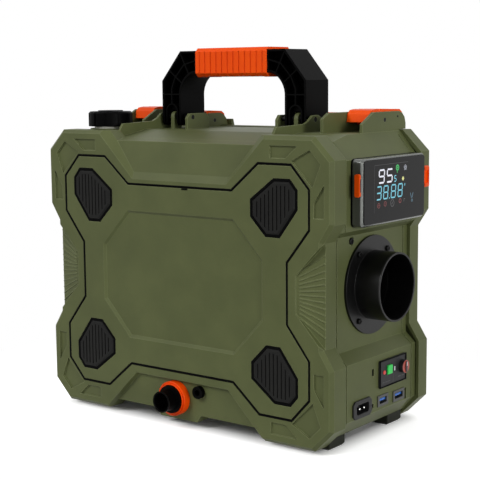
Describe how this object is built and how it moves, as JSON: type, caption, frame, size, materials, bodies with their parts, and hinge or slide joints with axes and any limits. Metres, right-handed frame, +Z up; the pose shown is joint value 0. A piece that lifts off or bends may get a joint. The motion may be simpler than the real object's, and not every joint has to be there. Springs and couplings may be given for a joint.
{
  "type": "portable diesel air heater",
  "caption": "Portable diesel air heater in a rugged toolbox casing: folding handle, clip-on display, round hot-air duct, exhaust stub and a fuel tank with a screw cap inside the casing.",
  "frame": {"origin": "middle of the bounding box at floor level", "axes": "+Z up, -Y towards the front cover, +X towards the end with the duct and the display"},
  "size_m": [0.428, 0.224, 0.4316],
  "materials": {
    "green_casing": "fine moulded texture, olive green",
    "black_pad": "ribbed matt rubber",
    "black_plastic": "satin moulded",
    "orange_plastic": "satin moulded",
    "orange_grip": "soft overmoulded grip",
    "orange_seal": "silicone ring",
    "steel": "turned",
    "cast_aluminium": "as cast",
    "black_screw": "black oxide",
    "tank_plastic": "natural moulded",
    "grey_bezel": "metallic grey lacquer",
    "dark_glass": "tinted, glossy",
    "board_green": "circuit board",
    "supply_case": "folded sheet",
    "button_green": "lit push button",
    "knob_black": "satin moulded",
    "port_grey": "socket frame",
    "hose_black": "hose"
  },
  "bodies": {
    "casing": {"front_shell": "green_casing", "rear_shell": "green_casing", "top_deck": "green_casing", "end_panel_right": "green_casing", "end_panel_left": "green_casing", "base_tray": "green_casing", "front_cover": "green_casing", "handle_pins": "steel", "latch_pins": "steel", "filler_neck": "tank_plastic", "fuel_tank": "tank_plastic", "fuel_line": "hose_black", "fuel_filter": "tank_plastic", "fuel_pump": "steel", "inner_frame": "supply_case", "burner_casing": "black_plastic", "outlet_hood": "black_plastic", "heat_exchanger": "cast_aluminium", "glow_plug": "steel", "fan_motor": "steel", "duct_collar": "black_plastic", "intake_grille": "black_plastic", "exhaust_elbow": "steel", "exhaust_stub": "black_screw", "exhaust_gasket": "orange_seal", "combustion_air_port": "black_plastic", "combustion_air_hose": "hose_black", "power_supply": "supply_case", "control_board": "board_green", "switch_panel": "black_plastic", "mains_inlet": "black_plastic", "inlet_pins": "steel", "usb_port_1": "port_grey", "usb_port_2": "port_grey", "cover_pad_upper_right": "black_pad", "cover_pad_lower_right": "black_pad", "cover_pad_upper_left": "black_pad", "cover_pad_lower_left": "black_pad", "foot_front_left": "black_pad", "foot_rear_left": "black_pad", "foot_front_right": "black_pad", "foot_rear_right": "black_pad"},
    "handle": {"handle_frame": "black_plastic", "handle_grip": "orange_grip"},
    "end_latch_left": {"end_latch_left": "orange_plastic"},
    "end_latch_right": {"end_latch_right": "orange_plastic"},
    "rear_latch_left": {"rear_latch_left": "orange_plastic"},
    "rear_latch_right": {"rear_latch_right": "orange_plastic"},
    "cap_lifter": {"cap_seal": "hose_black"},
    "cap": {"filler_cap": "black_plastic"},
    "fan": {"fan_impeller": "black_plastic"},
    "display": {"display_housing": "grey_bezel", "display_glass": "dark_glass", "display_board": "board_green"},
    "grip_front": {"display_grip_front": "orange_plastic"},
    "grip_rear": {"display_grip_rear": "orange_plastic"},
    "button": {"power_button": "button_green"},
    "knob": {"mode_knob": "knob_black"}
  },
  "joints": [
    {"name": "handle_fold", "type": "hinge", "parent": "casing", "child": "handle", "pos_m": [-0.008, 0.0149, 0.35], "axis": [1, 0, 0], "range_deg": [0, 90]},
    {"name": "end_latch_left_press", "type": "hinge", "parent": "casing", "child": "end_latch_left", "pos_m": [-0.167, 0.05747, 0.349], "axis": [1, 0, 0], "range_deg": [0, 14], "stiffness_Nm_per_rad": 0.3, "springref_deg": -8.59},
    {"name": "end_latch_right_press", "type": "hinge", "parent": "casing", "child": "end_latch_right", "pos_m": [0.151, 0.05747, 0.349], "axis": [1, 0, 0], "range_deg": [0, 14], "stiffness_Nm_per_rad": 0.3, "springref_deg": -8.59},
    {"name": "rear_latch_left_press", "type": "hinge", "parent": "casing", "child": "rear_latch_left", "pos_m": [-0.103, 0.07773, 0.344], "axis": [1, 0, 0], "range_deg": [0, 14], "stiffness_Nm_per_rad": 0.3, "springref_deg": -8.59},
    {"name": "rear_latch_right_press", "type": "hinge", "parent": "casing", "child": "rear_latch_right", "pos_m": [0.087, 0.07773, 0.344], "axis": [1, 0, 0], "range_deg": [0, 14], "stiffness_Nm_per_rad": 0.3, "springref_deg": -8.59},
    {"name": "cap_lift", "type": "slide", "parent": "casing", "child": "cap_lifter", "axis": [0, 0, 1], "range_m": [0, 0.03]},
    {"name": "cap_turn", "type": "hinge", "parent": "cap_lifter", "child": "cap", "pos_m": [-0.154, -0.0435, 0.35], "axis": [0, 0, 1], "range_deg": [0, 360]},
    {"name": "fan_spin", "type": "hinge", "parent": "casing", "child": "fan", "pos_m": [-0.08, 0.0125, 0.171], "axis": [1, 0, 0], "continuous": true},
    {"name": "display_pull", "type": "slide", "parent": "casing", "child": "display", "axis": [1, 0, 0], "range_m": [0, 0.03]},
    {"name": "grip_front_press", "type": "slide", "parent": "display", "child": "grip_front", "axis": [0, 1, 0], "range_m": [0, 0.0018], "stiffness_N_per_m": 600, "springref_m": -0.001},
    {"name": "grip_rear_press", "type": "slide", "parent": "display", "child": "grip_rear", "axis": [0, -1, 0], "range_m": [0, 0.0018], "stiffness_N_per_m": 600, "springref_m": -0.001},
    {"name": "button_press", "type": "slide", "parent": "casing", "child": "button", "axis": [-1, 0, 0], "range_m": [0, 0.0015], "stiffness_N_per_m": 400, "springref_m": -0.001},
    {"name": "knob_turn", "type": "hinge", "parent": "casing", "child": "knob", "pos_m": [0.192, 0.0565, 0.0725], "axis": [1, 0, 0], "range_deg": [-135, 135]}
  ]
}
